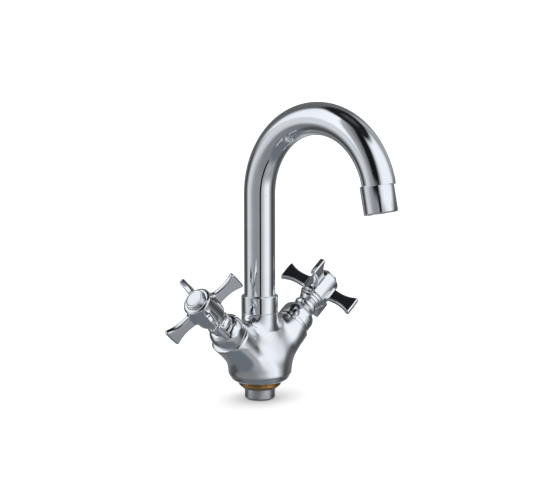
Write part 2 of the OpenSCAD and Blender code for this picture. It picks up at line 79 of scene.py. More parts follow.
def centre(node):
    """Middle of a CAD node's box, in millimetres."""
    lo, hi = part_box(node)
    return np.array((lo + hi) / 2) / MM


def local(co, place):
    """Points in a place's own coordinates. A place is (origin, 3 x 3 matrix of its axes)."""
    origin, axes = place
    return (co - origin) @ axes


def around(co, place):
    """Radius about a place's third axis, and height along it."""
    own = local(co, place)
    return np.hypot(own[:, 0], own[:, 1]), own[:, 2]


def span(node, place):
    """Lowest and highest reach of a node along a place's third axis, and its largest radius."""
    radius, height = around(points(node), place)
    return height.min(), height.max(), radius.max()


def radii_at(node, place, height, slack=0.02):
    """Smallest and largest radius among a node's vertices at one height."""
    radius, level = around(points(node), place)
    near = radius[np.abs(level - height) < slack]
    return near.min(), near.max()


def valve_place(joint_name, side):
    """Place of a valve: its axis comes from the joint. The hot one is the cold one's mirror image."""
    joint = next(j for j in frame["joints"] if j["name"] == joint_name)
    origin = np.array(joint["pos_m"]) / MM
    axis = np.array(joint["axis"], float)
    level = axis * [1, 1, 0]
    level /= np.linalg.norm(level)
    first = level * axis[2] - UP * (axis @ level)
    second = side * np.cross(axis, first)
    return origin, np.column_stack([first, second, axis])


def outlet_place():
    """Place of the spout's outlet: the origin at the aerator's top, the third axis along the water."""
    screen = centre("aerator_screen")
    axis = screen - centre("aerator_gasket")
    axis /= np.linalg.norm(axis)
    side = np.array([1.0, 0.0, 0.0])
    place = screen, np.column_stack([side, np.cross(axis, side), axis])
    start = span("aerator_housing", place)[0]
    return screen + axis * start, place[1]


WORLD = (np.zeros(3), np.eye(3))
VALVES = {"hot": valve_place("hot_valve", -1), "cold": valve_place("cold_valve", 1)}
OUTLET = outlet_place()


# ---------------------------------------------------------------- outlines and meshes

def rounded(corners, steps=6):
    """A closed outline from corners (x, y, radius), each corner turned into an arc."""
    out = []
    count = len(corners)
    for i, (x, y, radius) in enumerate(corners):
        here = np.array([x, y], float)
        if radius <= 0:
            out.append(here)
            continue
        before = np.array(corners[i - 1][:2], float) - here
        after = np.array(corners[(i + 1) % count][:2], float) - here
        before /= np.linalg.norm(before)
        after /= np.linalg.norm(after)
        half = math.acos(np.clip(before @ after, -1, 1)) / 2
        middle = (before + after) / np.linalg.norm(before + after)
        hub = here + middle * radius / math.sin(half)
        reach = radius / math.tan(half)
        first = here + before * reach - hub
        last = here + after * reach - hub
        turn = math.atan2(first[0] * last[1] - first[1] * last[0], first @ last)
        for t in np.linspace(0, turn, steps + 1):
            c, s = math.cos(t), math.sin(t)
            out.append(hub + [first[0] * c - first[1] * s, first[0] * s + first[1] * c])
    return np.array(out)


def link_mesh(name, mesh):
    """An object that shows a mesh, in the scene."""
    obj = bpy.data.objects.new(name, mesh)
    bpy.context.scene.collection.objects.link(obj)
    return obj


def make_object(name, vertices, faces, place=WORLD, normals=None):
    """A mesh object from millimetre vertices in a place's coordinates."""
    origin, axes = place
    world = np.asarray(vertices) @ axes.T + origin
    mirrored = np.linalg.det(axes) < 0
    rows = [tuple(int(i) for i in (reversed(f) if mirrored else f)) for f in faces]
    mesh = bpy.data.meshes.new(name)
    mesh.from_pydata((world * MM).tolist(), [], rows)
    mesh.shade_smooth()
    if normals is not None:
        mesh.normals_split_custom_set_from_vertices((normals @ axes.T).tolist())
    mesh.validate()
    return link_mesh(name, mesh)


def lathe(name, outline, place=WORLD, crease=30):
    """Turns a closed outline of (radius, height), drawn anticlockwise, about the place's third axis."""
    outline = np.asarray(outline, float)
    count = len(outline)
    angles = np.arange(SEGMENTS) * 2 * math.pi / SEGMENTS
    vertices, ring = [], []
    for radius, height in outline:
        if radius < 1e-6:
            ring.append([len(vertices)] * SEGMENTS)
            vertices.append((0, 0, height))
            continue
        ring.append(list(range(len(vertices), len(vertices) + SEGMENTS)))
        vertices += [(radius * math.cos(a), radius * math.sin(a), height) for a in angles]
    faces = []
    for i in range(count):
        a, b = ring[i], ring[(i + 1) % count]
        if a[0] == a[1] and b[0] == b[1]:
            continue
        for k in range(SEGMENTS):
            m = (k + 1) % SEGMENTS
            face = [a[k], a[m], b[m], b[k]]
            faces.append(list(dict.fromkeys(face)))
    obj = make_object(name, vertices, faces, place)
    obj.data.set_sharp_from_angle(angle=math.radians(crease))
    return obj


def sweep_tube(name, line, tangents, outer, inner):
    """A hollow tube along a line that lies in the plane x = 0, with flat ends."""
    angles = np.arange(SEGMENTS) * 2 * math.pi / SEGMENTS
    side = np.array([1.0, 0.0, 0.0])
    vertices = []
    for radius in (outer, inner):
        for at, tangent in zip(line, tangents):
            lift = np.cross(tangent, side)
            vertices += [
                at + radius * (math.cos(a) * side + math.sin(a) * lift) for a in angles
            ]
    rows = len(line)
    faces = []
    for shell in (0, 1):
        base = shell * rows * SEGMENTS
        for i in range(rows - 1):
            for k in range(SEGMENTS):
                m = (k + 1) % SEGMENTS
                a, b = base + i * SEGMENTS, base + (i + 1) * SEGMENTS
                face = [a + k, a + m, b + m, b + k]
                faces.append(face if shell == 0 else face[::-1])
    for row, flip in ((0, False), (rows - 1, True)):
        for k in range(SEGMENTS):
            m = (k + 1) % SEGMENTS
            a, b = row * SEGMENTS, (rows + row) * SEGMENTS
            face = [a + k, b + k, b + m, a + m]
            faces.append(face[::-1] if flip else face)
    obj = make_object(name, vertices, faces)
    obj.data.set_sharp_from_angle(angle=math.radians(40))
    return obj


# ---------------------------------------------------------------- shapes as distance fields

def outline_distance(x, y, outline):
    """Signed distance to a closed outline. Edges on the axis x = 0 don't count as a surface."""
    best = np.full(x.shape, 1e9)
    inside = np.zeros(x.shape, bool)
    for (ax, ay), (bx, by) in zip(outline, np.roll(outline, -1, axis=0)):
        if ay != by:
            crosses = (ay > y) != (by > y)
            inside ^= crosses & (x < (bx - ax) * (y - ay) / (by - ay) + ax)
        if ax == 0 and bx == 0:
            continue
        ex, ey = bx - ax, by - ay
        t = np.clip(((x - ax) * ex + (y - ay) * ey) / (ex * ex + ey * ey), 0, 1)
        best = np.minimum(best, (x - ax - t * ex) ** 2 + (y - ay - t * ey) ** 2)
    return np.where(inside, -1, 1) * np.sqrt(best)


def blend_union(a, b, width):
    """Union of two fields, with a fillet where they meet."""
    h = np.maximum(width - np.abs(a - b), 0)
    return np.minimum(a, b) - h * h / (4 * width)


def ramp(value, start, full):
    """Grows smoothly from 0 to 1 between two values."""
    t = np.clip((value - start) / (full - start), 0, 1)
    return t * t * (3 - 2 * t)


def cylinder_distance(radius, z, r, low, high):
    """Signed distance to an upright cylinder between two heights."""
    across = radius - r
    along = np.maximum(low - z, z - high)
    outside = np.hypot(np.maximum(across, 0), np.maximum(along, 0))
    return outside + np.minimum(np.maximum(across, along), 0)


def gradient(field, co, reach=0.02):
    """Direction in which a field grows at each point."""
    parts = []
    for axis in np.eye(3):
        parts.append(field(co + axis * reach) - field(co - axis * reach))
    return np.column_stack(parts) / (2 * reach)


def surface(field, low, high, step):
    """Quads on the field's zero surface: one vertex in each cell that it passes, then drawn onto it."""
    axes = [np.arange(a, b + step, step) for a, b in zip(low, high)]
    grid = np.stack(np.meshgrid(*axes, indexing="ij"), -1)
    shape = grid.shape[:3]
    values = np.concatenate([
        field(slab.reshape(-1, 3)) for slab in grid
    ]).reshape(shape)
    inside = values < 0
    # one vertex in each cell with corners on both sides, at the middle of its edges' crossings
    corner = [(i, j, k) for i in (0, 1) for j in (0, 1) for k in (0, 1)]
    cells = tuple(n - 1 for n in shape)
    part = [inside[i:i + cells[0], j:j + cells[1], k:k + cells[2]] for i, j, k in corner]
    total = sum(p.astype(np.int8) for p in part)
    mixed = (total > 0) & (total < 8)
    index = np.full(cells, -1)
    index[mixed] = np.arange(mixed.sum())
    at = np.argwhere(mixed)
    sums = np.zeros((len(at), 3))
    hits = np.zeros(len(at))
    for a in corner:
        for d in range(3):
            if a[d]:
                continue
            b = tuple(v + (n == d) for n, v in enumerate(a))
            va = values[tuple((at + a).T)]
            vb = values[tuple((at + b).T)]
            cut = (va < 0) != (vb < 0)
            t = np.where(cut, va / np.where(cut, va - vb, 1), 0)
            spot = np.array(a) + t[:, None] * (np.array(b) - np.array(a))
            sums += np.where(cut[:, None], spot, 0)
            hits += cut
    vertices = np.array(low) + (at + sums / hits[:, None]) * step
    # a few Newton steps bring the vertices onto the surface
    for _ in range(4):
        slope = gradient(field, vertices)
        size = np.maximum((slope ** 2).sum(1), 0.25)
        move = slope * (field(vertices) / size)[:, None]
        vertices -= np.clip(move, -step / 2, step / 2)
    # one quad round each grid edge that crosses the surface
    faces = []
    for d in range(3):
        u, v = (d + 1) % 3, (d + 2) % 3
        ahead = [slice(None)] * 3
        ahead[d] = slice(1, None)
        behind = [slice(None)] * 3
        behind[d] = slice(None, -1)
        change = inside[tuple(behind)] != inside[tuple(ahead)]
        edges = np.argwhere(change)
        edges = edges[(edges[:, u] > 0) & (edges[:, v] > 0)]
        edges = edges[(edges[:, u] < cells[u]) & (edges[:, v] < cells[v])]
        one_u, one_v = np.eye(3, dtype=int)[u], np.eye(3, dtype=int)[v]
        quad = [edges, edges - one_u, edges - one_u - one_v, edges - one_v]
        ids = np.column_stack([index[tuple(q.T)] for q in quad])
        outward = inside[tuple(edges.T)]
        ids[~outward] = ids[~outward][:, ::-1]
        faces.append(ids)
    normals = gradient(field, vertices)
    normals /= np.linalg.norm(normals, axis=1)[:, None]
    return vertices, np.concatenate(faces), normals


# ---------------------------------------------------------------- the cast body

BODY_STEP = 0.8
BODY_MARGIN = 4.0
WEB_FOOT_Z = 8.0
WEB_CURVE = 1.55
WEB_EDGE = 14.0
WEB_FILLET = 6.0
BRANCH_FILLET = 13.0
SWIVEL_GAP = 0.06


def web_distance(co, foot_r, neck_r, end_r, face):
    """Rough distance to the funnel below the branches, oval in plan, from the foot to their ends."""
    origin, axes = VALVES["cold"]
    edge = origin + axes[:, 2] * (face - 1.0) + axes[:, 0] * (end_r + 0.2)
    x, y, z = co.T
    start = WEB_FOOT_Z + 1.0
    rise = np.clip((z - start) / (edge[2] - start), 0, 1.2)
    half_x = foot_r + (abs(edge[0]) - foot_r) * rise ** WEB_CURVE
    half_y = foot_r + (neck_r - foot_r) * ramp(z, WEB_FOOT_Z + 2.0, 50.0)
    q = np.hypot(x / half_x, y / half_y)
    steep = np.hypot(x / half_x ** 2, y / half_y ** 2) + 1e-6
    hot, cold = local(co, VALVES["hot"]), local(co, VALVES["cold"])
    # it ends at the branches' axes, and reaches higher between them
    above = blend_union(-hot[:, 0], -cold[:, 0], 8.0) - 8.0 * (1 - ramp(np.abs(x), 3.0, 20.0))
    beyond = np.maximum(hot[:, 2], cold[:, 2]) - face + 0.5
    web = -blend_union(-q * (q - 1) / steep, -above, WEB_EDGE)
    return np.maximum(np.maximum(web, beyond), WEB_FOOT_Z - z)


def stub_distance(radius, z, shoulder, stub_r):
    """Keeps the collar's thread clear of the casting's fillets above the shoulder."""
    return np.where(z > shoulder + 0.01, radius - stub_r, -1e3)


def body_field():
    """Foot, neck and two branches in one casting, with soft fillets, bored out as the CAD body is."""
    z_low, top, _ = span("body_casting", WORLD)
    seat_r = radii_at("body_casting", WORLD, 0)[1]
    stub_r = radii_at("body_casting", WORLD, top)[1]
    foot_r = -np.array(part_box("body_casting")[0])[1] / MM
    shoulder, _, neck_r = span("collar_nut", WORLD)
    stem_low = span("spout_stem", WORLD)[0]
    stem_r = radii_at("spout_stem", WORLD, stem_low)[1]
    place = VALVES["cold"]
    face, _, bonnet_r = span("cold_bonnet", place)
    end_r = bonnet_r - 0.3
    chamber = span("cold_seat_seal", place)[0]
    chamber_r = span("cold_valve_o_ring", place)[2] + 0.1
    outline = rounded([
        (0, z_low, 0),
        (seat_r, z_low, 0.6),
        (foot_r - 1.2, 2.0, 3.0),
        (foot_r, 7.0, 3.0),
        (foot_r - 0.4, 12.0, 4.0),
        (foot_r - 3.0, 20.0, 6.0),
        (neck_r + 2.0, 33.0, 8.0),
        (neck_r, 39.5, 8.0),
        (neck_r, shoulder, 0.35),
        (stub_r, shoulder, 0),
        (stub_r, top, 0),
        (0, top, 0),
    ])
    branch = rounded([(0, 0, 0), (end_r + 1.0, 0, 0), (end_r, face, 0.4), (0, face, 0)])

    def field(co):
        radius, z = around(co, WORLD)
        solid = outline_distance(radius, z, outline)
        web = web_distance(co, foot_r - 1.2, neck_r, end_r, face)
        solid = blend_union(solid, web, WEB_FILLET)
        for valve in VALVES.values():
            stem = outline_distance(*around(co, valve), branch)
            solid = blend_union(solid, stem, BRANCH_FILLET)
        solid = np.maximum(solid, z_low - z)
        solid = np.maximum(solid, stub_distance(radius, z, shoulder, stub_r))
        swivel = cylinder_distance(radius, z, stem_r + SWIVEL_GAP, stem_low - 0.6, 2 * top)
        solid = np.maximum(solid, -swivel)
        for valve in VALVES.values():
            bore = cylinder_distance(*around(co, valve), chamber_r, chamber, 2 * face)
            solid = np.maximum(solid, -bore)
        return solid

    return field


def make_body():
    low, high = (np.array(v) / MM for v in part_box("body_casting"))
    found = surface(body_field(), low - BODY_MARGIN, high + BODY_MARGIN, BODY_STEP)
    vertices, faces, normals = found
    return make_object("body_shell", vertices, faces, WORLD, normals)


# ---------------------------------------------------------------- the handles

TIP_DEPTH = 0.6
FIN_FLARE = 1.02
FIN_CORNER = 1.5
FIN_EDGE = 1.5
FIN_HALF = 2.3
FIN_FILLET = 2.2
HANDLE_STEP = 0.45


def handle_shape():
    """Sizes of a handle, read from the cold one: heights and radii along its own axis."""
    place = VALVES["cold"]
    low, top, reach = span("cold_handle", place)
    radius, height = around(points("cold_handle"), place)
    tips = height[radius > reach - TIP_DEPTH]
    return {
        "low": low,
        "top": top,
        "reach": reach,
        "fin_z": (tips.min() + tips.max()) / 2,
        "end_half": (tips.max() - tips.min()) / 2,
        "hub_r": radii_at("cold_handle", place, top - 2)[1],
    }


def fin_turn(side):
    """Angle of a handle's fins about its axis, in its place's coordinates."""
    co = local(points(side + "_handle"), VALVES[side])
    radius = np.hypot(co[:, 0], co[:, 1])
    tips = co[radius > radius.max() - TIP_DEPTH]
    angle = np.arctan2(tips[:, 1], tips[:, 0]) * 4
    return math.atan2(np.sin(angle).mean(), np.cos(angle).mean()) / 4


def fin_outline(s):
    """One fishtail fin in its own plane, as (reach, height): a waist, and a bar across its end."""
    hub, reach = s["hub_r"], s["reach"]
    waist_r = hub + (reach - hub) * 0.36
    waist = s["end_half"] * 0.55
    end = s["end_half"] * FIN_FLARE
    flare = [
        (t, waist + (end - waist) * ((t - waist_r) / (reach - waist_r)) ** 2.1)
        for t in np.linspace(waist_r, reach - 0.4, 9)
    ]
    root = [(hub - 3, waist * 1.3), (hub, waist * 1.16), (hub + 3, waist * 1.05)]
    upper = root + flare[:-1]
    corners = [(x, y, 0) for x, y in upper]
    corners += [
        (reach, end + 0.2, FIN_CORNER),
        (reach + 0.3, 0, 0),
        (reach, -end - 0.2, FIN_CORNER),
    ]
    corners += [(x, -y, 0) for x, y in reversed(upper)]
    return rounded(corners, 5) + [0, s["fin_z"]]


def handle_field():
    """Bead, stepped skirt, hub and four fins, in the handle's own coordinates."""
    s = handle_shape()
    hub = s["hub_r"]
    skirt = s["low"] + 9.0
    place = VALVES["cold"]
    pocket_z, _, pocket_r = span("cold_cap", place)
    neck_r = radii_at("cold_valve_body", place, span("cold_valve_body", place)[1])[1]
    clip_z = span("cold_retaining_clip", place)[1]
    screw_r = span("cold_handle_screw", place)[2] + 1.2
    screw_z = s["top"] - 8.0
    bead_x, bead_z, bead_r = hub - 5.2, s["low"] + 4.4, 3.4
    outline = rounded([
        (0, s["low"], 0),
        (hub - 4.6, s["low"], 0.4),
        (hub - 4.0, s["low"] + 1.0, 0.3),
        (hub - 4.0, skirt - 0.6, 0.5),
        (hub - 2.2, skirt + 0.6, 0.4),
        (hub - 2.2, skirt + 2.7, 0.3),
        (hub - 1.2, skirt + 3.1, 0.4),
        (hub - 1.2, skirt + 4.9, 0.3),
        (hub, skirt + 5.5, 0.6),
        (hub, s["top"] - 1.2, 1.2),
        (hub - 1.6, s["top"], 0.7),
        (0, s["top"], 0),
    ], 4)
    fin = fin_outline(s)

    def field(co):
        radius, z = around(co, WORLD)
        core = outline_distance(radius, z, outline)
        core = blend_union(core, np.hypot(radius - bead_x, z - bead_z) - bead_r, 0.5)
        # the four fins are one, folded about the planes between them
        along = np.maximum(np.abs(co[:, 0]), np.abs(co[:, 1]))
        across = np.minimum(np.abs(co[:, 0]), np.abs(co[:, 1])) - (FIN_HALF - FIN_EDGE)
        flat = outline_distance(along, z, fin) + FIN_EDGE
        slab = np.hypot(np.maximum(flat, 0), np.maximum(across, 0)) - FIN_EDGE
        slab = slab + np.minimum(np.maximum(flat, across), 0)
        solid = blend_union(core, slab, FIN_FILLET)
        hollow = cylinder_distance(radius, z, neck_r + 0.6, s["low"] - 5, clip_z + 1.0)
        pocket = cylinder_distance(radius, z, pocket_r + 0.05, pocket_z, s["top"] + 5)
        well = cylinder_distance(radius, z, screw_r, screw_z, s["top"] + 5)
        return np.maximum(solid, -np.minimum(np.minimum(hollow, pocket), well))

    return field, s


def make_handles():
    field, s = handle_field()
    reach = s["reach"] + 1.0
    low = (-reach, -reach, s["low"] - 0.9)
    high = (reach, reach, s["top"] + 0.9)
    vertices, faces, normals = surface(field, low, high, HANDLE_STEP)
    made = {}
    for side, place in VALVES.items():
        turn = fin_turn(side)
        c, k = math.cos(turn), math.sin(turn)
        spin = np.array([[c, -k, 0], [k, c, 0], [0, 0, 1]])
        turned = place[0], place[1] @ spin
        made[side] = make_object(side + "_handle_casting", vertices, faces, turned, normals)
    return made


# ---------------------------------------------------------------- turned parts

def make_collar():
    low, high, outer = span("collar_nut", WORLD)
    hole = np.array(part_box("spout_tube")[1])[0] / MM + SWIVEL_GAP
    bore = span("spout_stem", WORLD)[2] + 0.2
    lip = high - 2.9
    return lathe("collar_nut_turned", rounded([
        (outer, low, 0.45),
        (outer, high, 1.1),
        (hole, high, 0.35),
        (hole, lip, 0),
        (bore, lip, 0),
        (bore, low, 0),
    ]))


def make_bonnet(side):
    place = VALVES[side]
    low, high, outer = span(side + "_bonnet", place)
    hole = radii_at(side + "_bonnet", place, high)[0]
    rim = hole + 1.6
    dome_z = high - 6.6
    wall = 1.6
    groove_r = outer - 0.55
    dome = [
        (rim + (outer - rim) * math.cos(t), dome_z + (high - dome_z) * math.sin(t))
        for t in np.linspace(0, math.pi / 2, 15)
    ]
    line_z = low + 3.0
    lower = rounded([
        (outer - wall, low, 0),
        (outer, low, 0.5),
        (outer, line_z, 0.22),
        (groove_r, line_z + 0.12, 0),
        (groove_r, line_z + 0.42, 0),
        (outer, line_z + 0.55, 0.22),
        (outer, dome_z, 0),
    ], 4)[:-1]
    upper = rounded([
        dome[-1] + (0,),
        (hole, high, 0.3),
        (hole, high - wall, 0),
        (rim, high - wall, 0),
        (outer - wall, dome_z, 0),
    ], 4)[1:]
    return lathe(side + "_bonnet_turned", np.concatenate([lower, dome, upper]), place)


def make_cap(side):
    place = VALVES[side]
    low, high, outer = span(side + "_cap", place)
    groove_r = outer - 0.6
    rim_r = outer - 0.15
    dish_z = high - 0.3
    return lathe(side + "_cap_turned", rounded([
        (0, low, 0),
        (outer, low, 0.2),
        (outer, high - 1.75, 0.25),
        (groove_r, high - 1.6, 0.12),
        (groove_r, high - 1.25, 0.12),
        (rim_r, high - 1.1, 0.15),
        (rim_r, high, 0.55),
        (outer - 1.3, high - 0.02, 0.5),
        (outer - 1.9, dish_z, 0.6),
        (0, dish_z, 0),
    ], 5), place, 40)


def make_base_ring():
    low, high, outer = span("base_ring", WORLD)
    inner, foot = radii_at("base_ring", WORLD, low)
    return lathe("base_ring_turned", rounded([
        (inner, low, 0.2),
        (foot, low, 0.4),
        (outer, high - 3.2, 0.6),
        (outer, high, 0.2),
        (inner, high, 0),
    ]))


def make_aerator():
    low, high, outer = span("aerator_housing", OUTLET)
    lip = radii_at("aerator_housing", OUTLET, high)[0]
    bore = radii_at("aerator_housing", OUTLET, low)[0]
    lip_z = high - 3.0
    return lathe("aerator_housing_turned", rounded([
        (outer, low, 0.3),
        (outer, high, 0.9),
        (lip, high, 0.4),
        (lip, lip_z, 0),
        (bore, lip_z, 0),
        (bore, low, 0),
    ][::-1])[::-1], OUTLET)


TUBE_WALL = 1.5


def make_spout():
    """Straight riser and arch of the hollow tube, from its foot on the stem to the aerator."""
    low, high = (np.array(v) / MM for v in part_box("spout_tube"))
    outer = high[0]
    inner = outer - TUBE_WALL
    co = points("spout_tube")
    arch_r = -co[co[:, 2].argmax(), 1]
    riser = high[2] - arch_r - outer
    end = math.pi / 2 + math.asin(-OUTLET[1][2, 2])
    line, tangents = [], []
    for z in np.linspace(low[2], riser, 12)[:-1]:
        line.append(np.array([0, 0, z]))
        tangents.append(UP)
    for t in np.linspace(0, end, 97):
        line.append(np.array([0, -arch_r + arch_r * math.cos(t), riser + arch_r * math.sin(t)]))
        tangents.append(np.array([0, -math.sin(t), math.cos(t)]))
    return sweep_tube("spout_tube_bent", line, tangents, outer, inner)


# ---------------------------------------------------------------- materials

def new_material(name):
    """A material with one shader wired to its output."""
    material = bpy.data.materials.new(name)
    material.use_nodes = True
    tree = material.node_tree
    tree.nodes.clear()
    shader = tree.nodes.new("ShaderNodeBsdfPrincipled")
    output = tree.nodes.new("ShaderNodeOutputMaterial")
    tree.links.new(shader.outputs[0], output.inputs[0])
    return material, tree, shader


def math_node(tree, operation, *inputs):
    """Result of one sum on numbers or other nodes' outputs."""
    node = tree.nodes.new("ShaderNodeMath")
    node.operation = operation
    for i, value in enumerate(inputs):
        if isinstance(value, (int, float)):
            node.inputs[i].default_value = value
        else:
            tree.links.new(value, node.inputs[i])
    return node.outputs[0]


def noise(tree, scale, detail=3.0, stretch=(1, 1, 1)):
    """Noise over the object's own coordinates, in cycles per metre."""
    where = tree.nodes.new("ShaderNodeTexCoord")
    mapping = tree.nodes.new("ShaderNodeMapping")
    mapping.inputs["Scale"].default_value = stretch
    texture = tree.nodes.new("ShaderNodeTexNoise")
    texture.inputs["Scale"].default_value = scale
    texture.inputs["Detail"].default_value = detail
    tree.links.new(where.outputs["Object"], mapping.inputs["Vector"])
    tree.links.new(mapping.outputs[0], texture.inputs["Vector"])
    return texture.outputs["Fac"]


def between(tree, factor, low, high):
    """A number that follows the factor from low to high."""
    node = tree.nodes.new("ShaderNodeMapRange")
    node.inputs["From Min"].default_value = 0.3
    node.inputs["From Max"].default_value = 0.7
    node.inputs["To Min"].default_value = low
    node.inputs["To Max"].default_value = high
    tree.links.new(factor, node.inputs["Value"])
    return node.outputs[0]


def tinted(tree, factor, stops):
    """A colour that follows the factor through a list of (position, colour)."""
    strip = tree.nodes.new("ShaderNodeValToRGB")
    elements = strip.color_ramp.elements
    for i, (at, colour) in enumerate(stops):
        element = elements[i] if i < 2 else elements.new(at)
        element.position = at
        element.color = (*colour, 1)
    tree.links.new(factor, strip.inputs["Fac"])
    return strip.outputs["Color"]


def finish_material(name, colours, rough, metallic, grain, bump, stretch=(1, 1, 1), **constants):
    """A surface whose colour and roughness drift with noise, over a fine bump."""
    material, tree, shader = new_material(name)
    shader.inputs["Metallic"].default_value = metallic
    for key, value in constants.items():
        shader.inputs[key.replace("_", " ")].default_value = value
    drift = noise(tree, grain[0], 2.0)
    fine = noise(tree, grain[1], 4.0, stretch)
    stops = [(0.35, colours[0]), (0.65, colours[1])]
    tree.links.new(tinted(tree, drift, stops), shader.inputs["Base Color"])
    tree.links.new(between(tree, fine, *rough), shader.inputs["Roughness"])
    relief = tree.nodes.new("ShaderNodeBump")
    relief.inputs["Strength"].default_value = bump[0]
    relief.inputs["Distance"].default_value = bump[1]
    tree.links.new(fine, relief.inputs["Height"])
    tree.links.new(relief.outputs[0], shader.inputs["Normal"])
    return material


CHROME = [(0.86, 0.875, 0.895), (0.90, 0.912, 0.93)]
BRASS = [(0.30, 0.15, 0.045), (0.50, 0.29, 0.10)]
RUBBER = [(0.02, 0.02, 0.021), (0.035, 0.035, 0.036)]
PLASTIC = [(0.72, 0.72, 0.70), (0.80, 0.80, 0.78)]
STEEL = [(0.42, 0.43, 0.45), (0.56, 0.57, 0.58)]
CERAMIC = [(0.76, 0.73, 0.66), (0.84, 0.81, 0.74)]

# name: colours, roughness range, metallic, scales of the drift and the grain, bump strength and
# distance in metres, stretch of the grain
FINISHES = {
    "chrome": (CHROME, (0.02, 0.05), 1.0, (38, 900), (0.02, 0.00002), (1, 1, 1)),
    "cast_chrome": (CHROME, (0.14, 0.18), 1.0, (30, 500), (0.04, 0.00004), (1, 1, 1)),
    "raw_brass": (BRASS, (0.22, 0.42), 1.0, (160, 2600), (0.35, 0.0001), (1, 1, 6)),
    # the centring ring's brass; its base colour is replaced with painted shade by height below
    "ring_brass": (BRASS, (0.25, 0.42), 1.0, (160, 2600), (0.35, 0.0001), (1, 1, 6)),
    "black_rubber": (RUBBER, (0.5, 0.7), 0.0, (300, 3000), (0.3, 0.0001), (1, 1, 1)),
    "white_plastic": (PLASTIC, (0.3, 0.45), 0.0, (200, 2000), (0.1, 0.00005), (1, 1, 1)),
    "steel": (STEEL, (0.22, 0.4), 1.0, (200, 3000), (0.2, 0.00005), (1, 1, 12)),
    "ceramic": (CERAMIC, (0.15, 0.3), 0.0, (200, 3000), (0.05, 0.00002), (1, 1, 1)),
}


def paint_ring_shade(material):
    """Painted shade on the centring ring: dark amber at its top under the body, paler where it tapers,
    with a random mottle.
    """
    tree = material.node_tree
    shader = next(n for n in tree.nodes if n.type == "BSDF_PRINCIPLED")
    low, high, _ = span("base_ring", WORLD)
    where = tree.nodes.new("ShaderNodeTexCoord")
    split = tree.nodes.new("ShaderNodeSeparateXYZ")
    tree.links.new(where.outputs["Object"], split.inputs[0])
    level = tree.nodes.new("ShaderNodeMapRange")
    level.inputs["From Min"].default_value = low * MM
    level.inputs["From Max"].default_value = high * MM
    tree.links.new(split.outputs["Z"], level.inputs["Value"])
    mottle = math_node(tree, "MULTIPLY_ADD", noise(tree, 420, 3.0), 0.3, -0.15)
    place = math_node(tree, "ADD", level.outputs[0], mottle)
    # bottom to top: pale tan where the ring tapers, then painted shade darkening to dark amber at its
    # top, under the body
    tones = [
        (0.0, (0.55, 0.40, 0.22)),
        (0.42, (0.62, 0.40, 0.18)),
        (0.62, (0.42, 0.20, 0.05)),
        (1.0, (0.13, 0.055, 0.016)),
    ]
    tree.links.new(tinted(tree, place, tones), shader.inputs["Base Color"])


def make_materials():
    materials = {name: finish_material(name, *finish) for name, finish in FINISHES.items()}
    # the centring ring's colour is painted shade: darker towards its top, under the body
    paint_ring_shade(materials["ring_brass"])
    return materials


def slot_of(node):
    """The record's slot of a CAD node, by what the part is made of."""
    kinds = {
        "black_rubber": ("o_ring", "gasket", "seal"),
        "white_plastic": ("glide_ring", "insert"),
        "steel": ("clip", "screw", "screen"),
        "ceramic": ("disc",),
        "raw_brass": ("stem", "valve_body", "spindle", "base_ring"),
    }
    for slot, words in kinds.items():
        if any(word in node for word in words):
            return slot
    return "chrome"


def dress(obj, material):
    """Gives an object one material."""
    obj.data.materials.clear()
    obj.data.materials.append(material)


def assign_cad(materials):
    """Gives every CAD node the finish of what it is made of."""
    for name, obj in frame["nodes"].items():
        material = materials["steel" if name == "inlet_spigot" else slot_of(name)]
        for holder in obj.material_slots:
            holder.material = material


def add_piece(obj, body, node, materials):
    """Hangs a finished piece on its body, in place of its CAD node."""
    slot = slot_of(node)
    dress(obj, materials[slot])
    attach(obj, body)
    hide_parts(node)


# ---------------------------------------------------------------- studio

CAMERA_TURN = math.radians(-47.3)
CAMERA_TILT = math.radians(7.38)
CAMERA_LENS = 78.64
CAMERA_DISTANCE = 0.93548
AIM_HEIGHT = 0.100
AIM_RIGHT = 0.01555
AIM_DOWN = 0.0004
GREY_TABLE = (0.150, 0.170, 0.195, 1)
DARK_CEILING = (0.012, 0.013, 0.015, 1)
TOP_PANEL = (0.06, 0.06, 0.065, 1)
COOL = (0.955, 0.985, 1.035)

# Brightness round the set, as (degrees to the right of the front, grey): above, level and below.
# The front is where the camera stands at first. The set stays with the object.
HIGH = [
    (-180, 0.16), (-156, 0.14), (-122, 0.12), (-112, 0.36), (-103, 0.95), (-68, 1.05),
    (-60, 0.42), (-44, 0.24), (-37, 0.14), (-31, 0.008), (-3, 0.008), (5, 0.26),
    (16, 0.80), (34, 1.00), (62, 1.00), (84, 1.00), (100, 0.80), (114, 0.40),
    (124, 0.30), (134, 0.48), (148, 0.34), (160, 0.16), (180, 0.16),
]
LEVEL = [
    (-180, 0.20), (-152, 0.20), (-139, 0.16), (-122, 0.05), (-109, 0.10), (-98, 0.42),
    (-88, 0.74), (-70, 0.62), (-54, 0.37), (-38, 0.30), (-12, 0.29), (0, 0.34),
    (14, 0.46), (24, 0.52), (31, 0.66), (44, 0.90), (66, 1.00), (79, 0.60),
    (90, 0.28), (99, 0.11), (109, 0.065), (122, 0.10), (139, 0.16), (155, 0.20),
    (180, 0.20),
]
LOW = [
    (-180, 0.55), (-158, 0.20), (-140, 0.09), (-112, 0.08), (-95, 0.20), (-60, 0.24),
    (-10, 0.24), (14, 0.34), (40, 0.42), (85, 0.34), (102, 0.15), (120, 0.08),
    (150, 0.10), (162, 0.28), (180, 0.55),
]


def toward_camera():
    """Level direction from the object to the camera, and the direction to the picture's right."""
    front = Vector((math.sin(CAMERA_TURN), -math.cos(CAMERA_TURN), 0))
    right = Vector((math.cos(CAMERA_TURN), math.sin(CAMERA_TURN), 0))
    return front, right


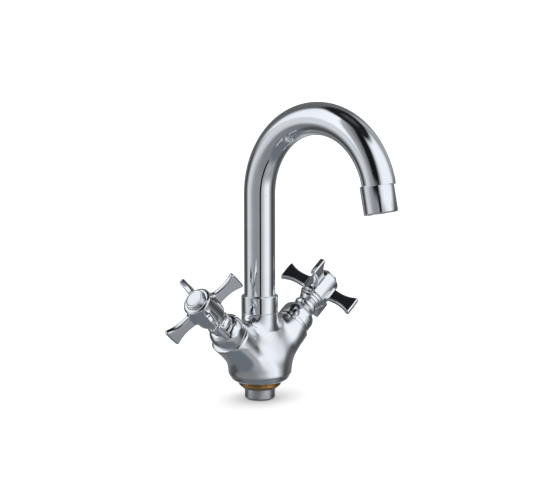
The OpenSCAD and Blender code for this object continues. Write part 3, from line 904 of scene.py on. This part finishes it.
def make_camera():
    """The photograph's view, from the front left and a little above."""
    _, right = toward_camera()
    a, e = CAMERA_TURN, CAMERA_TILT
    look = Vector((-math.sin(a) * math.cos(e), math.cos(a) * math.cos(e), -math.sin(e)))
    up = right.cross(look)
    target = Vector((0, 0, AIM_HEIGHT)) + AIM_RIGHT * right - AIM_DOWN * up
    data = bpy.data.cameras.new("camera")
    data.lens = CAMERA_LENS
    data.sensor_width = 36
    data.clip_end = 50
    camera = bpy.data.objects.new("camera", data)
    camera.location = target - CAMERA_DISTANCE * look
    camera.rotation_euler = look.to_track_quat("-Z", "Y").to_euler()
    bpy.context.scene.collection.objects.link(camera)
    bpy.context.scene.camera = camera


def curve_node(tree, value, stops, low, high):
    """A grey that follows (place, brightness) stops between low and high."""
    place = math_node(tree, "MULTIPLY_ADD", value, 1 / (high - low), -low / (high - low))
    strip = tree.nodes.new("ShaderNodeValToRGB")
    strip.color_ramp.interpolation = "EASE"
    elements = strip.color_ramp.elements
    for i, (at, grey) in enumerate(stops):
        position = (at - low) / (high - low)
        element = elements[i] if i < 2 else elements.new(position)
        element.position = position
        element.color = (grey * COOL[0], grey * COOL[1], grey * COOL[2], 1)
    tree.links.new(place, strip.inputs["Fac"])
    return strip.outputs["Color"]


def rise(tree, height, start, full):
    """A factor that grows from 0 to 1 between two elevations in degrees."""
    node = tree.nodes.new("ShaderNodeMapRange")
    node.interpolation_type = "SMOOTHSTEP"
    node.inputs["From Min"].default_value = math.radians(start)
    node.inputs["From Max"].default_value = math.radians(full)
    tree.links.new(height, node.inputs["Value"])
    return node.outputs[0]


def blend_colour(tree, factor, first, second):
    """Goes from the first colour to the second as the factor grows. Either may be a node's output."""
    mix = tree.nodes.new("ShaderNodeMix")
    mix.data_type = "RGBA"
    tree.links.new(factor, mix.inputs["Factor"])
    for key, value in ((6, first), (7, second)):
        if isinstance(value, tuple):
            mix.inputs[key].default_value = value
        else:
            tree.links.new(value, mix.inputs[key])
    return mix.outputs[2]


def studio_light(tree):
    """What the polished metal reflects: tall soft panels with dark gaps all round the set, a dark
    ceiling with one panel overhead, and a grey table below."""
    front, right = toward_camera()
    where = tree.nodes.new("ShaderNodeTexCoord").outputs["Generated"]
    axes = []
    for direction in (front, right, Vector((0, 0, 1))):
        dot = tree.nodes.new("ShaderNodeVectorMath")
        dot.operation = "DOT_PRODUCT"
        dot.inputs[1].default_value = direction
        tree.links.new(where, dot.inputs[0])
        axes.append(dot.outputs["Value"])
    angle = math_node(tree, "ARCTAN2", axes[1], axes[0])
    height = math_node(tree, "ARCSINE", axes[2])
    light = GREY_TABLE
    for stops, start, full in ((LOW, -64, -46), (LEVEL, -34, -16), (HIGH, 2, 14)):
        turns = [(math.radians(at), grey) for at, grey in stops]
        panel = curve_node(tree, angle, turns, -math.pi, math.pi)
        light = blend_colour(tree, rise(tree, height, start, full), light, panel)
    light = blend_colour(tree, rise(tree, height, 54, 66), light, DARK_CEILING)
    return blend_colour(tree, rise(tree, height, 76, 82), light, TOP_PANEL)


def make_world():
    """White for the camera, even white for matt surfaces, and the studio for reflections."""
    world = bpy.data.worlds.new("studio")
    world.use_nodes = True
    bpy.context.scene.world = world
    tree = world.node_tree
    tree.nodes.clear()
    path = tree.nodes.new("ShaderNodeLightPath")
    plain = tree.nodes.new("ShaderNodeBackground")
    plain.inputs["Color"].default_value = (1, 1, 1, 1)
    plain.inputs["Strength"].default_value = 1.4
    soft = tree.nodes.new("ShaderNodeBackground")
    tree.links.new(studio_light(tree), soft.inputs["Color"])
    choose = tree.nodes.new("ShaderNodeMixShader")
    output = tree.nodes.new("ShaderNodeOutputWorld")
    tree.links.new(path.outputs["Is Glossy Ray"], choose.inputs["Fac"])
    tree.links.new(plain.outputs[0], choose.inputs[1])
    tree.links.new(soft.outputs[0], choose.inputs[2])
    tree.links.new(choose.outputs[0], output.inputs["Surface"])


def make_floor():
    """A pale table top, level with the lowest point of the object."""
    low = cad_box[0][2]
    size = 3.0
    corners = [(x * size, y * size, low) for x, y in ((-1, -1), (1, -1), (1, 1), (-1, 1))]
    mesh = bpy.data.meshes.new("table_top")
    mesh.from_pydata(corners, [], [(0, 1, 2, 3)])
    floor = link_mesh("table_top", mesh)
    floor.data.materials.append(finish_material(
        "table_paint", [(0.955, 0.955, 0.955), (0.965, 0.965, 0.965)], (0.7, 0.8), 0.0,
        (3, 40), (0.02, 0.0001), Specular_IOR_Level=0.0))
    floor.visible_glossy = False


def make_flag():
    """A narrow dark screen in front of the set, seen only in the metal: it draws the thin dark line
    down the tube. It lies on the table at first, then stands up."""
    front, right = toward_camera()
    centre_line = 6.5
    half_width = 0.055
    near, far, top = 0.16, 0.52, 0.26
    turn = math.radians(centre_line)
    ahead = front * math.cos(turn) + right * math.sin(turn)
    side = right * math.cos(turn) - front * math.sin(turn)
    low = Vector((0, 0, cad_box[0][2] + 0.001))
    corners = []
    for reach, height in ((near, 0.0), (far, 0.0), (far, top)):
        width = half_width * reach / far
        at = ahead * reach + low + Vector((0, 0, height))
        corners += [at - side * width, at + side * width]
    mesh = bpy.data.meshes.new("dark_screen")
    mesh.from_pydata(corners, [], [(0, 1, 3, 2), (2, 3, 5, 4)])
    flag = link_mesh("dark_screen", mesh)
    dress(flag, finish_material(
        "dark_cloth", [(0.008, 0.008, 0.009), (0.014, 0.014, 0.015)], (0.9, 1.0), 0.0,
        (30, 600), (0.1, 0.0005), Specular_IOR_Level=0.0))
    flag.visible_camera = False
    flag.visible_diffuse = False
    flag.visible_shadow = False


# ---------------------------------------------------------------- putting it together

def build():
    """All the pieces, each on its body and in place of its CAD node."""
    materials = make_materials()
    assign_cad(materials)
    add_piece(make_body(), "body", "body_casting", materials)
    dress(bpy.data.objects["body_shell"], materials["cast_chrome"])
    add_piece(make_collar(), "body", "collar_nut", materials)
    add_piece(make_base_ring(), "body", "base_ring", materials)
    dress(bpy.data.objects["base_ring_turned"], materials["ring_brass"])
    add_piece(make_spout(), "spout", "spout_tube", materials)
    add_piece(make_aerator(), "spout", "aerator_housing", materials)
    for side, casting in make_handles().items():
        add_piece(casting, side + "_handle_set", side + "_handle", materials)
        add_piece(make_cap(side), side + "_handle_set", side + "_cap", materials)
        add_piece(make_bonnet(side), "body", side + "_bonnet", materials)


build()
make_camera()
make_world()
make_floor()
make_flag()
bpy.context.scene.view_settings.view_transform = "Standard"
